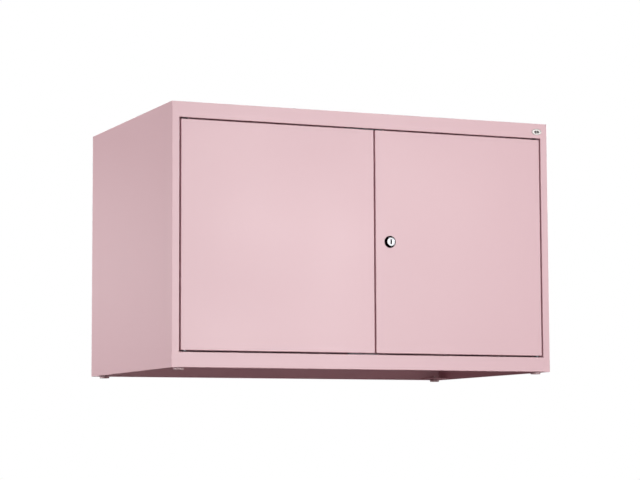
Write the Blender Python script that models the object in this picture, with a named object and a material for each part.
"""Two-door steel storage cabinet: welded sheet carcass, two inset doors on pivot pins, cam lock and slide bolts.

Metres, +Z up. The origin is the middle of the cabinet on the surface that it stands on. The front faces -Y.
"""

import math

import bmesh
import bpy
from mathutils import Matrix, Vector

MM = 0.001

# Carcass: outer size of the sheet body, which stands on four glides.
WIDTH = 800 * MM
DEPTH = 500 * MM
HEIGHT = 500 * MM
SHEET = 1.0 * MM
BEND_RADIUS = 0.7 * MM  # at the middle of the sheet
BEND_STEPS = 3
SEAM = 0.3 * MM  # gap between pieces that touch or are welded

# Front frame.
STILE_WIDTH = 15 * MM
STILE_LIP = 16 * MM
STILE_TRIM = 1.5 * MM  # the stile's fold is trimmed away by this much where a rail meets it
TOP_RAIL = 30 * MM
TOP_FLANGE = 22 * MM
BOTTOM_RAIL = 29 * MM
SKIRT_LIP = 12 * MM
REAR_FLANGE = 15 * MM

# Doors.
DOOR_GAP = 3 * MM
DOOR_TOP_GAP = 2.8 * MM
DOOR_SPLIT = 16.8 * MM  # the gap between the doors lies this far right of the middle
DOOR_DEPTH = 20 * MM
DOOR_LIP = 10 * MM
PIVOT_INSET = 9 * MM  # pivot axis from the door's outer edge
PIVOT_DEPTH = 6 * MM  # pivot axis from the door's face
PIN_RADIUS = 2.5 * MM
BUSH_RADIUS = 3.8 * MM
BUSH_FLANGE_RADIUS = 6.2 * MM

# Lock.
LOCK_FROM_EDGE = 30.7 * MM  # lock axis from the right door's free edge
LOCK_HEIGHT = 249 * MM  # above the carcass's lower edge
LOCK_BARREL_RADIUS = 9.5 * MM
LOCK_PLUG_RADIUS = 6.5 * MM
CAM_REACH = 45 * MM
CAM_WIDTH = 14 * MM
CAM_THICKNESS = 2 * MM

# Slide bolts of the left door, on the cabinet's centre line.
BOLT_RADIUS = 3.5 * MM
BOLT_DEPTH = 10 * MM
BOLT_TRAVEL = 12 * MM
BOLT_LENGTH = 62 * MM
KNOB_RADIUS = 4 * MM

# Stops in the middle of the rails.
STOP_SHEET = 1.5 * MM
TOP_CUTOUT = 84 * MM
BOTTOM_STOP = 64 * MM
BUFFER_RADIUS = 4 * MM

# Feet.
FOOT_RADIUS = 10 * MM
FOOT_HEIGHT = 4 * MM
FOOT_INSET = 21.5 * MM
CORNER_PLATE = 44 * MM

# Shelf and its strips.
STRIP_WIDTH = 20 * MM
STRIP_DEPTH = 7 * MM
SLOT_PITCH = 25 * MM
SLOT_SIZE = (10 * MM, 3.4 * MM)
SHELF_SLOT = 8  # the slot, counted from the floor, that the shelf clips hook into
SHELF_DEPTH = 440 * MM
SHELF_EDGE = 25 * MM
CLIP_SHEET = 2 * MM
CLIP_DROP = 12 * MM

# Places worked out from the sizes above.
LEFT = -WIDTH / 2
RIGHT = WIDTH / 2
FRONT = -DEPTH / 2
BACK = DEPTH / 2
BASE = FOOT_HEIGHT
TOP = BASE + HEIGHT
OPENING_LEFT = LEFT + STILE_WIDTH
OPENING_RIGHT = RIGHT - STILE_WIDTH
OPENING_BOTTOM = BASE + BOTTOM_RAIL
OPENING_TOP = TOP - TOP_RAIL
DOOR_BOTTOM = OPENING_BOTTOM + DOOR_GAP
DOOR_TOP = OPENING_TOP - DOOR_TOP_GAP
LEFT_DOOR = (OPENING_LEFT + DOOR_GAP, DOOR_SPLIT - DOOR_GAP / 2)
RIGHT_DOOR = (DOOR_SPLIT + DOOR_GAP / 2, OPENING_RIGHT - DOOR_GAP)
PIVOT_Y = FRONT + PIVOT_DEPTH
LEFT_PIVOT = (LEFT_DOOR[0] + PIVOT_INSET, PIVOT_Y, 0)
RIGHT_PIVOT = (RIGHT_DOOR[1] - PIVOT_INSET, PIVOT_Y, 0)
LOCK_AXIS = (RIGHT_DOOR[0] + LOCK_FROM_EDGE, FRONT, BASE + LOCK_HEIGHT)
BACK_PANEL_OUTER = BACK - SHEET - SEAM
BACK_PANEL_INNER = BACK_PANEL_OUTER - SHEET

ROUND = 24  # sides of a turned piece
MERGE = 1e-7
ALONG = {"X": (1, 2, 0), "Y": (0, 2, 1), "Z": (0, 1, 2)}


def clear_scene():
    """Remove what the start-up file holds."""
    for old in list(bpy.data.objects):
        bpy.data.objects.remove(old, do_unlink=True)


def finish(name, colour, roughness, metallic):
    """A plain finish, named and coloured for one kind of piece."""
    material = bpy.data.materials.new(name)
    material.use_nodes = True
    shader = material.node_tree.nodes["Principled BSDF"]
    shader.inputs["Base Color"].default_value = (*colour, 1)
    shader.inputs["Roughness"].default_value = roughness
    shader.inputs["Metallic"].default_value = metallic
    return material


def add_piece(name, bm, material, location=(0, 0, 0), smooth=True):
    """Turn a bmesh into a named object; flat faces keep sharp edges between them."""
    mesh = bpy.data.meshes.new(name)
    bmesh.ops.recalc_face_normals(bm, faces=bm.faces)
    bm.to_mesh(mesh)
    bm.free()
    if smooth:
        mesh.shade_smooth()
        mesh.set_sharp_from_angle(angle=math.radians(40))
    mesh.materials.append(material.copy())
    piece = bpy.data.objects.new(name, mesh)
    piece.location = location
    bpy.context.scene.collection.objects.link(piece)
    return piece


def add_pivot(name, location):
    """An empty on a joint's axis, which the moving pieces hang on."""
    pivot = bpy.data.objects.new(name, None)
    pivot.location = location
    bpy.context.scene.collection.objects.link(pivot)
    return pivot


def hang(piece, pivot):
    """Parent a piece to a pivot and keep it where it is."""
    piece.parent = pivot
    piece.location = piece.location - pivot.location


def extrude_outline(bm, outline, axis, start, end):
    """A prism: the outline lies across the axis, and runs along it from start to end."""
    first, second, third = ALONG[axis]
    corners = []
    for u, v in outline:
        corner = [0, 0, 0]
        corner[first] = u
        corner[second] = v
        corner[third] = start
        corners.append(bm.verts.new(corner))
    face = bm.faces.new(corners)
    move = [0, 0, 0]
    move[third] = end - start
    grown = bmesh.ops.extrude_face_region(bm, geom=[face], use_keep_orig=True)
    new_verts = [item for item in grown["geom"] if isinstance(item, bmesh.types.BMVert)]
    bmesh.ops.translate(bm, verts=new_verts, vec=move)


def fold_outline(path, thickness, radius=BEND_RADIUS):
    """Outline of a folded sheet: the path runs along the middle of the sheet, with a round bend at each corner."""
    points = [Vector(point) for point in path]
    runs = [(after - before).normalized() for before, after in zip(points, points[1:])]
    across = [Vector((-run.y, run.x)) for run in runs]
    middle = [(points[0], across[0])]
    for corner, run, side, next_run in zip(points[1:-1], runs, across, runs[1:]):
        turn = math.atan2(run.cross(next_run), run.dot(next_run))
        back_off = radius * math.tan(abs(turn) / 2)
        hand = math.copysign(1, turn)
        centre = corner - run * back_off + side * radius * hand
        for step in range(BEND_STEPS + 1):
            rotation = Matrix.Rotation(turn * step / BEND_STEPS, 2)
            normal = rotation @ side
            middle.append((centre - normal * radius * hand, normal))
    middle.append((points[-1], across[-1]))
    near = [point + normal * thickness / 2 for point, normal in middle]
    far = [point - normal * thickness / 2 for point, normal in reversed(middle)]
    return near + far


def folded(name, path, axis, start, end, material, thickness=SHEET):
    """One folded sheet, bent across the given axis."""
    bm = bmesh.new()
    extrude_outline(bm, fold_outline(path, thickness), axis, start, end)
    return add_piece(name, bm, material)


def add_block(bm, low, high):
    """A box between two corners."""
    size = Vector(high) - Vector(low)
    middle = (Vector(high) + Vector(low)) / 2
    bmesh.ops.create_cube(bm, size=1, matrix=Matrix.Translation(middle) @ Matrix.Diagonal((*size, 1)))


def add_rod(bm, start, end, radius, sides=ROUND):
    """A round rod between two points."""
    run = Vector(end) - Vector(start)
    turn = run.to_track_quat("Z", "Y").to_matrix().to_4x4()
    place = Matrix.Translation((Vector(start) + Vector(end)) / 2) @ turn
    bmesh.ops.create_cone(
        bm, cap_ends=True, segments=sides, radius1=radius, radius2=radius, depth=run.length, matrix=place
    )


def turned(name, profile, material, location, axis="Z", ring=False):
    """A turned piece: the profile is (radius, height) from one end to the other, on the axis or as a closed ring."""
    bm = bmesh.new()
    verts = [bm.verts.new((radius, 0, height)) for radius, height in profile]
    pairs = list(zip(verts, verts[1:]))
    if ring:
        pairs.append((verts[-1], verts[0]))
    edges = [bm.edges.new(pair) for pair in pairs]
    bmesh.ops.spin(bm, geom=verts + edges, cent=(0, 0, 0), axis=(0, 0, 1), angle=math.tau, steps=ROUND)
    bmesh.ops.remove_doubles(bm, verts=bm.verts, dist=MERGE)
    if axis == "Y":
        bmesh.ops.rotate(bm, verts=bm.verts, cent=(0, 0, 0), matrix=Matrix.Rotation(-math.pi / 2, 3, "X"))
    return add_piece(name, bm, material, location)


def cut(piece, bm):
    """Cut a shape, which may have several bodies, out of a piece."""
    mesh = bpy.data.meshes.new(piece.name + "_cutter")
    bmesh.ops.recalc_face_normals(bm, faces=bm.faces)
    bm.to_mesh(mesh)
    bm.free()
    cutter = bpy.data.objects.new(piece.name + "_cutter", mesh)
    cutter.hide_render = True
    cutter.display_type = "WIRE"
    bpy.context.scene.collection.objects.link(cutter)
    modifier = piece.modifiers.new("cut", "BOOLEAN")
    modifier.operation = "DIFFERENCE"
    modifier.object = cutter


def pan(name, low, high, open_side, lip, material):
    """A sheet pan: five walls, folded in again as a lip round its open side."""
    bm = bmesh.new()
    add_block(bm, low, high)
    bm.normal_update()
    open_face = max(bm.faces, key=lambda face: face.normal.dot(Vector(open_side)))
    box_edges = list(bm.edges)
    bmesh.ops.inset_individual(bm, faces=[open_face], thickness=lip)
    bmesh.ops.delete(bm, geom=[open_face], context="FACES")
    bmesh.ops.bevel(
        bm,
        geom=box_edges,
        offset=BEND_RADIUS + SHEET / 2,
        segments=BEND_STEPS,
        profile=0.5,
        affect="EDGES",
        clamp_overlap=True,
    )
    piece = add_piece(name, bm, material)
    wall = piece.modifiers.new("wall", "SOLIDIFY")
    wall.thickness = SHEET
    wall.offset = -1
    wall.use_even_offset = True
    return piece


def make_side(name, hand, material):
    """One side wall, folded in at the rear and twice at the front, where the fold is the stile."""
    middle = SHEET / 2
    outer = hand * (WIDTH / 2 - middle)
    lip_x = hand * (WIDTH / 2 - STILE_WIDTH + middle)
    path = [
        (hand * (WIDTH / 2 - REAR_FLANGE), BACK - middle),
        (outer, BACK - middle),
        (outer, FRONT + middle),
        (lip_x, FRONT + middle),
        (lip_x, FRONT + STILE_LIP),
    ]
    side = folded(name, path, "Z", BASE, TOP - SHEET - SEAM, material)
    trim = bmesh.new()
    inner = WIDTH / 2 - STILE_WIDTH
    for low, high in ((BASE - SHEET, OPENING_BOTTOM + SEAM), (OPENING_TOP - SEAM, TOP + SHEET)):
        ends = sorted((hand * (inner - SHEET), hand * (inner + STILE_TRIM)))
        add_block(trim, (ends[0], FRONT - SHEET, low), (ends[1], FRONT + STILE_LIP + SHEET, high))
    cut(side, trim)
    return side


def make_top(material, rail_end):
    """The top sheet, folded down at the rear and down and back at the front, where the fold is the top rail."""
    middle = SHEET / 2
    path = [
        (BACK - middle, TOP - REAR_FLANGE),
        (BACK - middle, TOP - middle),
        (FRONT + middle, TOP - middle),
        (FRONT + middle, OPENING_TOP + middle),
        (FRONT + TOP_FLANGE, OPENING_TOP + middle),
    ]
    top = folded("top_panel", path, "X", LEFT, RIGHT, material)
    below = TOP - SHEET - SEAM / 6
    openings = bmesh.new()
    for hand in (-1, 1):
        ends = sorted((hand * rail_end, hand * (WIDTH / 2 + SHEET)))
        rear_ends = sorted((hand * (WIDTH / 2 - REAR_FLANGE - SEAM), hand * (WIDTH / 2 + SHEET)))
        floor = OPENING_TOP - SHEET
        add_block(openings, (ends[0], FRONT - SHEET, floor), (ends[1], FRONT + TOP_FLANGE + SHEET, below))
        rear_floor = TOP - REAR_FLANGE - SHEET
        add_block(openings, (rear_ends[0], BACK - 2 * SHEET, rear_floor), (rear_ends[1], BACK + SHEET, below))
    cut(top, openings)
    holes = bmesh.new()
    low = OPENING_TOP - SHEET
    high = OPENING_TOP + 2 * SHEET
    for pivot in (LEFT_PIVOT, RIGHT_PIVOT):
        add_rod(holes, (pivot[0], pivot[1], low), (pivot[0], pivot[1], high), BUSH_RADIUS + SEAM)
    rear = FRONT + TOP_FLANGE + SHEET
    bolt_front = FRONT + BOLT_DEPTH - BOLT_RADIUS - 2 * SEAM
    add_block(holes, (-TOP_CUTOUT / 2, bolt_front, low), (TOP_CUTOUT / 2, rear, high))
    corner = 24 * MM
    for hand in (-1, 1):
        ends = sorted((hand * rail_end + hand * SHEET, hand * (OPENING_RIGHT - corner)))
        add_block(holes, (ends[0], FRONT + 2 * PIVOT_DEPTH, low), (ends[1], rear, high))
    cut(top, holes)
    return top


def make_floor(material, rail_end):
    """The floor sheet, folded down at the rear, and down and back at the front, where the fold is the rail."""
    middle = SHEET / 2
    rear = BACK_PANEL_INNER - SEAM - middle
    path = [
        (FRONT + SKIRT_LIP, BASE + middle),
        (FRONT + middle, BASE + middle),
        (FRONT + middle, OPENING_BOTTOM - middle),
        (rear, OPENING_BOTTOM - middle),
        (rear, OPENING_BOTTOM - SKIRT_LIP),
    ]
    inner_wall = WIDTH / 2 - SHEET - SEAM
    floor = folded("floor_panel", path, "X", -inner_wall, inner_wall, material)
    openings = bmesh.new()
    for hand in (-1, 1):
        ends = sorted((hand * rail_end, hand * (WIDTH / 2 + SHEET)))
        add_block(
            openings,
            (ends[0], FRONT - SHEET, BASE - SHEET),
            (ends[1], FRONT + SHEET + SEAM, OPENING_BOTTOM + SHEET),
        )
    cut(floor, openings)
    holes = bmesh.new()
    low = OPENING_BOTTOM - 2 * SHEET
    high = OPENING_BOTTOM + SHEET
    for pivot in (LEFT_PIVOT, RIGHT_PIVOT):
        add_rod(holes, (pivot[0], pivot[1], low), (pivot[0], pivot[1], high), BUSH_RADIUS + SEAM)
    add_rod(holes, (0, FRONT + BOLT_DEPTH, low), (0, FRONT + BOLT_DEPTH, high), BOLT_RADIUS + 2 * SEAM)
    cut(floor, holes)
    return floor


def make_back(material):
    """The back sheet, inside the flanges of the sides and the top, with a lip along its lower edge."""
    middle = SHEET / 2
    plane = BACK_PANEL_INNER + middle
    path = [
        (BACK_PANEL_INNER - SKIRT_LIP, BASE + middle),
        (plane, BASE + middle),
        (plane, TOP - SHEET - SEAM),
    ]
    inner_wall = WIDTH / 2 - SHEET - SEAM
    return folded("back_panel", path, "X", -inner_wall, inner_wall, material)


def make_corner(name, hand_x, hand_y, steel, plastic):
    """A welded corner plate in the base, and the glide that is pushed into it."""
    centre_x = hand_x * (WIDTH / 2 - FOOT_INSET)
    centre_y = hand_y * (DEPTH / 2 - FOOT_INSET)
    outer_x = hand_x * (WIDTH / 2 - SHEET - SEAM)
    front_wall = DEPTH / 2 - SHEET - SEAM
    rear_wall = BACK_PANEL_INNER - SEAM
    outer_y = rear_wall if hand_y > 0 else -front_wall
    inner_x = outer_x - hand_x * CORNER_PLATE
    inner_y = outer_y - hand_y * CORNER_PLATE
    snip = CORNER_PLATE / 2
    outline = [
        (outer_x, outer_y),
        (inner_x, outer_y),
        (inner_x, inner_y + hand_y * snip),
        (inner_x + hand_x * snip, inner_y),
        (outer_x, inner_y),
    ]
    plate_low = BASE + SHEET + SEAM
    plate_high = plate_low + 2 * SHEET
    bm = bmesh.new()
    extrude_outline(bm, outline, "Z", plate_low, plate_high)
    plate = add_piece(name + "_corner_plate", bm, steel, smooth=False)
    stem = 4 * MM
    hole = bmesh.new()
    add_rod(hole, (centre_x, centre_y, BASE), (centre_x, centre_y, plate_high + SHEET), stem + SEAM)
    cut(plate, hole)
    rim = 1 * MM
    boss = 6.5 * MM
    profile = [
        (0, 0),
        (FOOT_RADIUS - rim, 0),
        (FOOT_RADIUS, rim),
        (FOOT_RADIUS, FOOT_HEIGHT - SEAM),
        (boss, FOOT_HEIGHT - SEAM),
        (boss, FOOT_HEIGHT + SHEET),
        (stem, FOOT_HEIGHT + SHEET),
        (stem, FOOT_HEIGHT + 7 * MM),
        (stem - rim, FOOT_HEIGHT + 8 * MM),
        (0, FOOT_HEIGHT + 8 * MM),
    ]
    turned(name + "_glide", profile, plastic, (centre_x, centre_y, 0))


def make_hinge(side, end, pivot, door, plastic, zinc):
    """A shouldered pin in the door's edge, and the flanged bush in the rail that it turns in."""
    door_edge, rail_face, out = (DOOR_TOP, OPENING_TOP, 1) if end == "top" else (DOOR_BOTTOM, OPENING_BOTTOM, -1)
    flange = 1 * MM
    barrel = 7 * MM
    bore = PIN_RADIUS + SEAM
    bush = [
        (bore, rail_face - out * (SEAM + flange)),
        (BUSH_FLANGE_RADIUS, rail_face - out * (SEAM + flange)),
        (BUSH_FLANGE_RADIUS, rail_face - out * SEAM),
        (BUSH_RADIUS, rail_face - out * SEAM),
        (BUSH_RADIUS, rail_face + out * barrel),
        (bore, rail_face + out * barrel),
    ]
    turned(f"{side}_{end}_hinge_bush", bush, plastic, (pivot[0], pivot[1], 0), ring=True)
    head_radius = 4.5 * MM
    head = 5 * MM
    collar = 1 * MM
    inner_face = door_edge - out * (SHEET + SEAM)
    outer_face = door_edge + out * SEAM
    chamfer = 0.8 * MM
    tip = rail_face + out * (barrel - 1 * MM)
    pin = [
        (0, inner_face - out * head),
        (head_radius, inner_face - out * head),
        (head_radius, inner_face),
        (PIN_RADIUS, inner_face),
        (PIN_RADIUS, outer_face),
        (head_radius, outer_face),
        (head_radius, outer_face + out * collar),
        (PIN_RADIUS, outer_face + out * collar),
        (PIN_RADIUS, tip - out * chamfer),
        (PIN_RADIUS - chamfer, tip),
        (0, tip),
    ]
    hang(turned(f"{side}_{end}_hinge_pin", pin, zinc, (pivot[0], pivot[1], 0)), door)


def make_door(side, span, pivot, door, paint):
    """A door pan with holes for its pins, and the hat-section stiffener behind its skin."""
    low = (span[0], FRONT, DOOR_BOTTOM)
    high = (span[1], FRONT + DOOR_DEPTH, DOOR_TOP)
    panel = pan(f"{side}_door_panel", low, high, (0, 1, 0), DOOR_LIP, paint)
    pin_holes = bmesh.new()
    for edge in (DOOR_BOTTOM, DOOR_TOP):
        ends = (edge - 2 * SHEET, edge + 2 * SHEET)
        add_rod(pin_holes, (pivot[0], pivot[1], ends[0]), (pivot[0], pivot[1], ends[1]), PIN_RADIUS + SEAM)
    cut(panel, pin_holes)
    hang(panel, door)
    middle = (span[0] + span[1]) / 2
    foot_y = FRONT + SHEET + SEAM + SHEET / 2
    crown_y = FRONT + 16 * MM
    foot = 32 * MM
    crown = 18 * MM
    path = [
        (middle - foot, foot_y),
        (middle - crown, foot_y),
        (middle - crown, crown_y),
        (middle + crown, crown_y),
        (middle + crown, foot_y),
        (middle + foot, foot_y),
    ]
    clear = 18 * MM
    stiffener = folded(
        f"{side}_door_stiffener", path, "Z", DOOR_BOTTOM + clear, DOOR_TOP - clear, paint
    )
    hang(stiffener, door)
    return panel


def make_bolt(end, panel, door, zinc):
    """A slide bolt in its two-eared guide, drawn back inside the door's edge."""
    edge, out = (DOOR_TOP, 1) if end == "top" else (DOOR_BOTTOM, -1)
    rod_y = FRONT + BOLT_DEPTH
    edge_hole = bmesh.new()
    add_rod(edge_hole, (0, rod_y, edge - 2 * SHEET), (0, rod_y, edge + 2 * SHEET), BOLT_RADIUS + SEAM)
    cut(panel, edge_hole)
    tip = edge - out * SEAM
    tail = tip - out * BOLT_LENGTH
    chamfer = 1 * MM
    knob_z = tail + out * 24 * MM
    guide_sheet = 1.5 * MM
    base_y = FRONT + SHEET + SEAM + guide_sheet / 2
    near_ear = knob_z - out * (KNOB_RADIUS + SEAM + guide_sheet / 2)
    far_ear = knob_z + out * (KNOB_RADIUS + BOLT_TRAVEL + SEAM + guide_sheet / 2)
    ear_end = FRONT + 15.5 * MM
    path = [(ear_end, near_ear), (base_y, near_ear), (base_y, far_ear), (ear_end, far_ear)]
    half_width = 9 * MM
    guide = folded(f"{end}_bolt_guide", path, "X", -half_width, half_width, zinc, guide_sheet)
    ear_holes = bmesh.new()
    ears = sorted((near_ear, far_ear))
    add_rod(ear_holes, (0, rod_y, ears[0] - 2 * SHEET), (0, rod_y, ears[1] + 2 * SHEET), BOLT_RADIUS + SEAM)
    cut(guide, ear_holes)
    hang(guide, door)
    bolt = turned(
        f"{end}_bolt",
        [
            (0, tail),
            (BOLT_RADIUS - chamfer, tail),
            (BOLT_RADIUS, tail + out * chamfer),
            (BOLT_RADIUS, tip - out * chamfer),
            (BOLT_RADIUS - chamfer, tip),
            (0, tip),
        ],
        zinc,
        (0, rod_y, 0),
    )
    knob_mesh = bpy.data.meshes.new(f"{end}_bolt_knob")
    knob_bm = bmesh.new()
    add_rod(knob_bm, (0, 0, knob_z), (0, 13 * MM, knob_z), KNOB_RADIUS)
    knob_bm.to_mesh(knob_mesh)
    knob_bm.free()
    knob = bpy.data.objects.new(f"{end}_bolt_knob", knob_mesh)
    knob.location = (0, rod_y, 0)
    knob.hide_render = True
    knob.display_type = "WIRE"
    bpy.context.scene.collection.objects.link(knob)
    union = bolt.modifiers.new("knob", "BOOLEAN")
    union.operation = "UNION"
    union.object = knob


def make_lock(panel, door, turning, chrome, zinc):
    """The lock: a body held in the door by its nut, and a plug that turns with the cam behind the door."""
    axis_x, face_y, axis_z = LOCK_AXIS
    skin_hole = bmesh.new()
    add_rod(
        skin_hole,
        (axis_x, face_y - SHEET, axis_z),
        (axis_x, face_y + 2 * SHEET, axis_z),
        LOCK_BARREL_RADIUS + SEAM,
    )
    cut(panel, skin_hole)
    bore = LOCK_PLUG_RADIUS + SEAM
    collar_radius = 11.8 * MM
    face_radius = 8.4 * MM
    collar_front = -6 * MM
    taper_foot = -1.4 * MM
    barrel_end = 18 * MM
    body = [
        (bore, collar_front),
        (face_radius, collar_front),
        (face_radius + 0.6 * MM, collar_front + 0.5 * MM),
        (collar_radius, taper_foot),
        (collar_radius, -SEAM),
        (LOCK_BARREL_RADIUS, -SEAM),
        (LOCK_BARREL_RADIUS, barrel_end),
        (bore, barrel_end),
    ]
    hang(turned("lock_body", body, chrome, LOCK_AXIS, axis="Y", ring=True), door)
    nut_front = SHEET + SEAM
    nut_thickness = 4 * MM
    nut = bmesh.new()
    bmesh.ops.create_cone(
        nut,
        cap_ends=True,
        segments=6,
        radius1=15 * MM,
        radius2=15 * MM,
        depth=nut_thickness,
        matrix=Matrix.Translation((axis_x, face_y + nut_front + nut_thickness / 2, axis_z))
        @ Matrix.Rotation(math.pi / 2, 4, "X"),
    )
    nut_piece = add_piece("lock_nut", nut, zinc, smooth=False)
    thread = bmesh.new()
    add_rod(
        thread,
        (axis_x, face_y, axis_z),
        (axis_x, face_y + nut_front + nut_thickness + SHEET, axis_z),
        LOCK_BARREL_RADIUS + SEAM,
    )
    cut(nut_piece, thread)
    hang(nut_piece, door)
    plug_front = collar_front + 0.4 * MM
    plug_end = barrel_end + 0.6 * MM
    stud_radius = 3 * MM
    cam_front = DOOR_DEPTH + 2 * SEAM
    cam_back = cam_front + CAM_THICKNESS
    stud_end = cam_back - SEAM
    screw_radius = 1.6 * MM
    screw_bore = screw_radius + SEAM
    bore_floor = barrel_end - 5 * MM
    plug = [
        (0, plug_front),
        (LOCK_PLUG_RADIUS - 0.4 * MM, plug_front),
        (LOCK_PLUG_RADIUS, plug_front + 0.4 * MM),
        (LOCK_PLUG_RADIUS, plug_end),
        (stud_radius, plug_end),
        (stud_radius, stud_end),
        (screw_bore, stud_end),
        (screw_bore, bore_floor),
        (0, bore_floor),
    ]
    plug_piece = turned("lock_plug", plug, chrome, LOCK_AXIS, axis="Y")
    keyway = bmesh.new()
    half_width = 1.3 * MM
    half_height = 5.2 * MM
    add_block(
        keyway,
        (axis_x - half_width, face_y + plug_front - SHEET, axis_z - half_height),
        (axis_x + half_width, face_y + plug_front + 9 * MM, axis_z + half_height),
    )
    cut(plug_piece, keyway)
    hang(plug_piece, turning)
    cam = bmesh.new()
    arc = [math.pi * step / 12 for step in range(13)]
    half = CAM_WIDTH / 2
    top_arc = [(half * math.cos(angle), half * math.sin(angle)) for angle in arc]
    tip_centre = -(CAM_REACH - half)
    tip_arc = [(-half * math.cos(angle), tip_centre - half * math.sin(angle)) for angle in arc]
    outline = [(axis_x + u, axis_z + v) for u, v in top_arc + tip_arc]
    extrude_outline(cam, outline, "Y", face_y + cam_front, face_y + cam_back)
    cam_piece = add_piece("lock_cam", cam, zinc, smooth=False)
    stud_hole = bmesh.new()
    add_rod(
        stud_hole,
        (axis_x, face_y + cam_front - SHEET, axis_z),
        (axis_x, face_y + cam_back + SHEET, axis_z),
        stud_radius + SEAM,
    )
    cut(cam_piece, stud_hole)
    hang(cam_piece, turning)
    head_low = cam_back + SEAM
    head = 2.2 * MM
    head_radius = 4.8 * MM
    screw = [
        (0, bore_floor + 1 * MM),
        (screw_radius, bore_floor + 1 * MM),
        (screw_radius, head_low),
        (head_radius, head_low),
        (head_radius, head_low + head / 2),
        (head_radius - 1 * MM, head_low + head),
        (0, head_low + head),
    ]
    screw_piece = turned("lock_cam_screw", screw, zinc, LOCK_AXIS, axis="Y")
    slot = bmesh.new()
    half_slot = 0.5 * MM
    slot_floor = face_y + head_low + head - 1 * MM
    add_block(
        slot,
        (axis_x - 2 * head_radius, slot_floor, axis_z - half_slot),
        (axis_x + 2 * head_radius, slot_floor + 2 * MM, axis_z + half_slot),
    )
    cut(screw_piece, slot)
    hang(screw_piece, turning)


def make_stops(zinc, rubber):
    """A bracket behind the doors in the middle of each rail, with one rubber buffer for each door."""
    lip_y = FRONT + TOP_FLANGE + SEAM + STOP_SHEET / 2
    top_base = OPENING_TOP + SHEET + SEAM + STOP_SHEET / 2
    lip_reach = 15 * MM
    top_tab = 8 * MM  # stops short of the slide bolt
    bottom_tab = 20 * MM
    top_path = [(lip_y - top_tab, top_base), (lip_y, top_base), (lip_y, OPENING_TOP - lip_reach)]
    half_top = TOP_CUTOUT / 2 + 8 * MM
    folded("top_stop_bracket", top_path, "X", -half_top, half_top, zinc, STOP_SHEET)
    floor_base = OPENING_BOTTOM + SEAM + STOP_SHEET / 2
    bottom_path = [(lip_y + bottom_tab, floor_base), (lip_y, floor_base), (lip_y, OPENING_BOTTOM + lip_reach)]
    folded("bottom_stop_bracket", bottom_path, "X", -BOTTOM_STOP / 2, BOTTOM_STOP / 2, zinc, STOP_SHEET)
    lip_face = lip_y - STOP_SHEET / 2
    back = lip_face - SEAM
    front = FRONT + DOOR_DEPTH + SEAM
    buffer_x = 26 * MM
    for end, height in (("top", DOOR_TOP - DOOR_LIP / 2), ("bottom", DOOR_BOTTOM + DOOR_LIP / 2)):
        for side, x in (("left", -buffer_x), ("right", buffer_x)):
            bm = bmesh.new()
            add_rod(bm, (x, front, height), (x, back, height), BUFFER_RADIUS, 24)
            add_piece(f"{side}_{end}_buffer", bm, rubber)


def make_badge(chrome):
    """A blank oval plate on the right end of the top rail."""
    half_width = 11 * MM
    half_height = 6.5 * MM
    thickness = 1 * MM
    centre = Vector((RIGHT - 23 * MM, FRONT - SEAM - thickness / 2, TOP - 17 * MM))
    bm = bmesh.new()
    turn = Matrix.Rotation(math.pi / 2, 4, "X")
    stretch = Matrix.Diagonal((half_width, 1, half_height, 1))
    place = Matrix.Translation(centre) @ stretch @ turn
    bmesh.ops.create_cone(bm, cap_ends=True, segments=48, radius1=1, radius2=1, depth=thickness, matrix=place)
    front_rim = [edge for edge in bm.edges if all(v.co.y < centre.y and edge.is_manifold for v in edge.verts)]
    bmesh.ops.bevel(bm, geom=front_rim, offset=0.4 * MM, segments=2, profile=0.5, affect="EDGES")
    add_piece("badge", bm, chrome)


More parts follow.
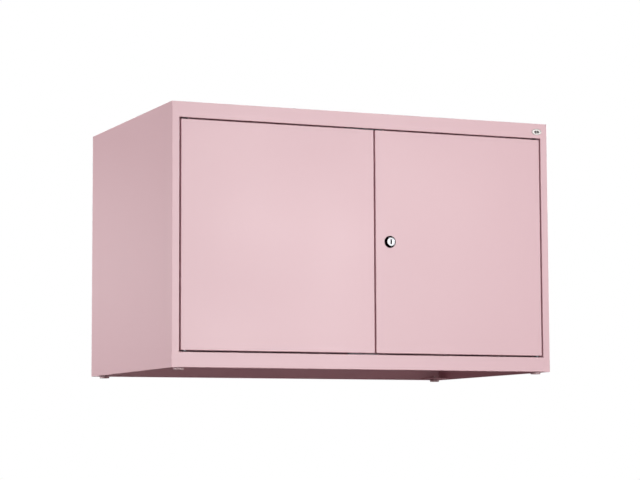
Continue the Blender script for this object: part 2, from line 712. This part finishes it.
def make_shelf(paint, zinc):
    """Four slotted strips on the side walls, a clip in each, and the shelf that lies on the clips."""
    wall = WIDTH / 2 - SHEET - SEAM
    web = wall - STRIP_DEPTH
    low = OPENING_BOTTOM + SEAM
    high = OPENING_TOP - DOOR_GAP
    slots = int((high - low) / SLOT_PITCH) - 1
    slot_z = [low + SLOT_PITCH * (index + 1) for index in range(slots)]
    hook_z = slot_z[SHELF_SLOT]
    ledge_z = hook_z - CLIP_DROP
    strip_places = {"front": FRONT + 70 * MM, "rear": BACK - 60 * MM}
    for side, hand in (("left", -1), ("right", 1)):
        for place, y in strip_places.items():
            half = STRIP_WIDTH / 2 - SHEET / 2
            web_middle = hand * (web + SHEET / 2)
            path = [(hand * wall, y - half), (web_middle, y - half), (web_middle, y + half), (hand * wall, y + half)]
            strip = folded(f"{side}_{place}_shelf_strip", path, "Z", low, high, paint)
            punch = bmesh.new()
            for z in slot_z:
                ends = sorted((hand * (web - SHEET), hand * (web + 2 * SHEET)))
                half_slot = (SLOT_SIZE[0] / 2, SLOT_SIZE[1] / 2)
                add_block(
                    punch, (ends[0], y - half_slot[0], z - half_slot[1]), (ends[1], y + half_slot[0], z + half_slot[1])
                )
            cut(strip, punch)
            hook_end = hand * (web + 4 * MM)
            drop_x = hand * (web - SEAM - CLIP_SHEET / 2)
            ledge_end = hand * (web - 14 * MM)
            clip_path = [(hook_end, hook_z), (drop_x, hook_z), (drop_x, ledge_z), (ledge_end, ledge_z)]
            bm = bmesh.new()
            outline = fold_outline(clip_path, CLIP_SHEET, radius=1.3 * MM)
            half_clip = SLOT_SIZE[0] / 2 - SEAM
            extrude_outline(bm, outline, "Y", y - half_clip, y + half_clip)
            add_piece(f"{side}_{place}_shelf_clip", bm, zinc)
    half_shelf = web - 2 * SEAM - CLIP_SHEET - SEAM
    shelf_low = ledge_z + CLIP_SHEET / 2 + SEAM
    shelf_back = BACK_PANEL_INNER - 10 * MM
    low_corner = (-half_shelf, shelf_back - SHELF_DEPTH, shelf_low)
    high_corner = (half_shelf, shelf_back, shelf_low + SHELF_EDGE)
    pan("shelf", low_corner, high_corner, (0, 0, -1), DOOR_LIP, paint)


def main():
    """Build the cabinet."""
    clear_scene()
    paint = finish("pink_powder_coat", (0.80, 0.57, 0.60), 0.42, 0.0)
    chrome = finish("chrome", (0.78, 0.78, 0.80), 0.12, 1.0)
    zinc = finish("zinc_plate", (0.60, 0.61, 0.63), 0.35, 1.0)
    nylon = finish("black_nylon", (0.03, 0.03, 0.03), 0.55, 0.0)
    glide = finish("glide_plastic", (0.62, 0.50, 0.51), 0.5, 0.0)
    rubber = finish("rubber", (0.05, 0.05, 0.05), 0.8, 0.0)

    rail_end = WIDTH / 2 - STILE_WIDTH + STILE_TRIM - SEAM
    make_side("left_side_panel", -1, paint)
    make_side("right_side_panel", 1, paint)
    make_top(paint, rail_end)
    make_floor(paint, rail_end)
    make_back(paint)
    for place_y, hand_y in (("front", -1), ("rear", 1)):
        for place_x, hand_x in (("left", -1), ("right", 1)):
            make_corner(f"{place_x}_{place_y}", hand_x, hand_y, paint, glide)

    left_door = add_pivot("left_door_pivot", LEFT_PIVOT)
    right_door = add_pivot("right_door_pivot", RIGHT_PIVOT)
    turning = add_pivot("lock_axis", LOCK_AXIS)
    left_panel = make_door("left", LEFT_DOOR, LEFT_PIVOT, left_door, paint)
    right_panel = make_door("right", RIGHT_DOOR, RIGHT_PIVOT, right_door, paint)
    for side, pivot, door in (("left", LEFT_PIVOT, left_door), ("right", RIGHT_PIVOT, right_door)):
        for end in ("top", "bottom"):
            make_hinge(side, end, pivot, door, nylon, zinc)
    for end in ("top", "bottom"):
        make_bolt(end, left_panel, left_door, zinc)
    make_lock(right_panel, right_door, turning, chrome, zinc)
    make_stops(zinc, rubber)
    make_badge(chrome)
    make_shelf(paint, zinc)


main()
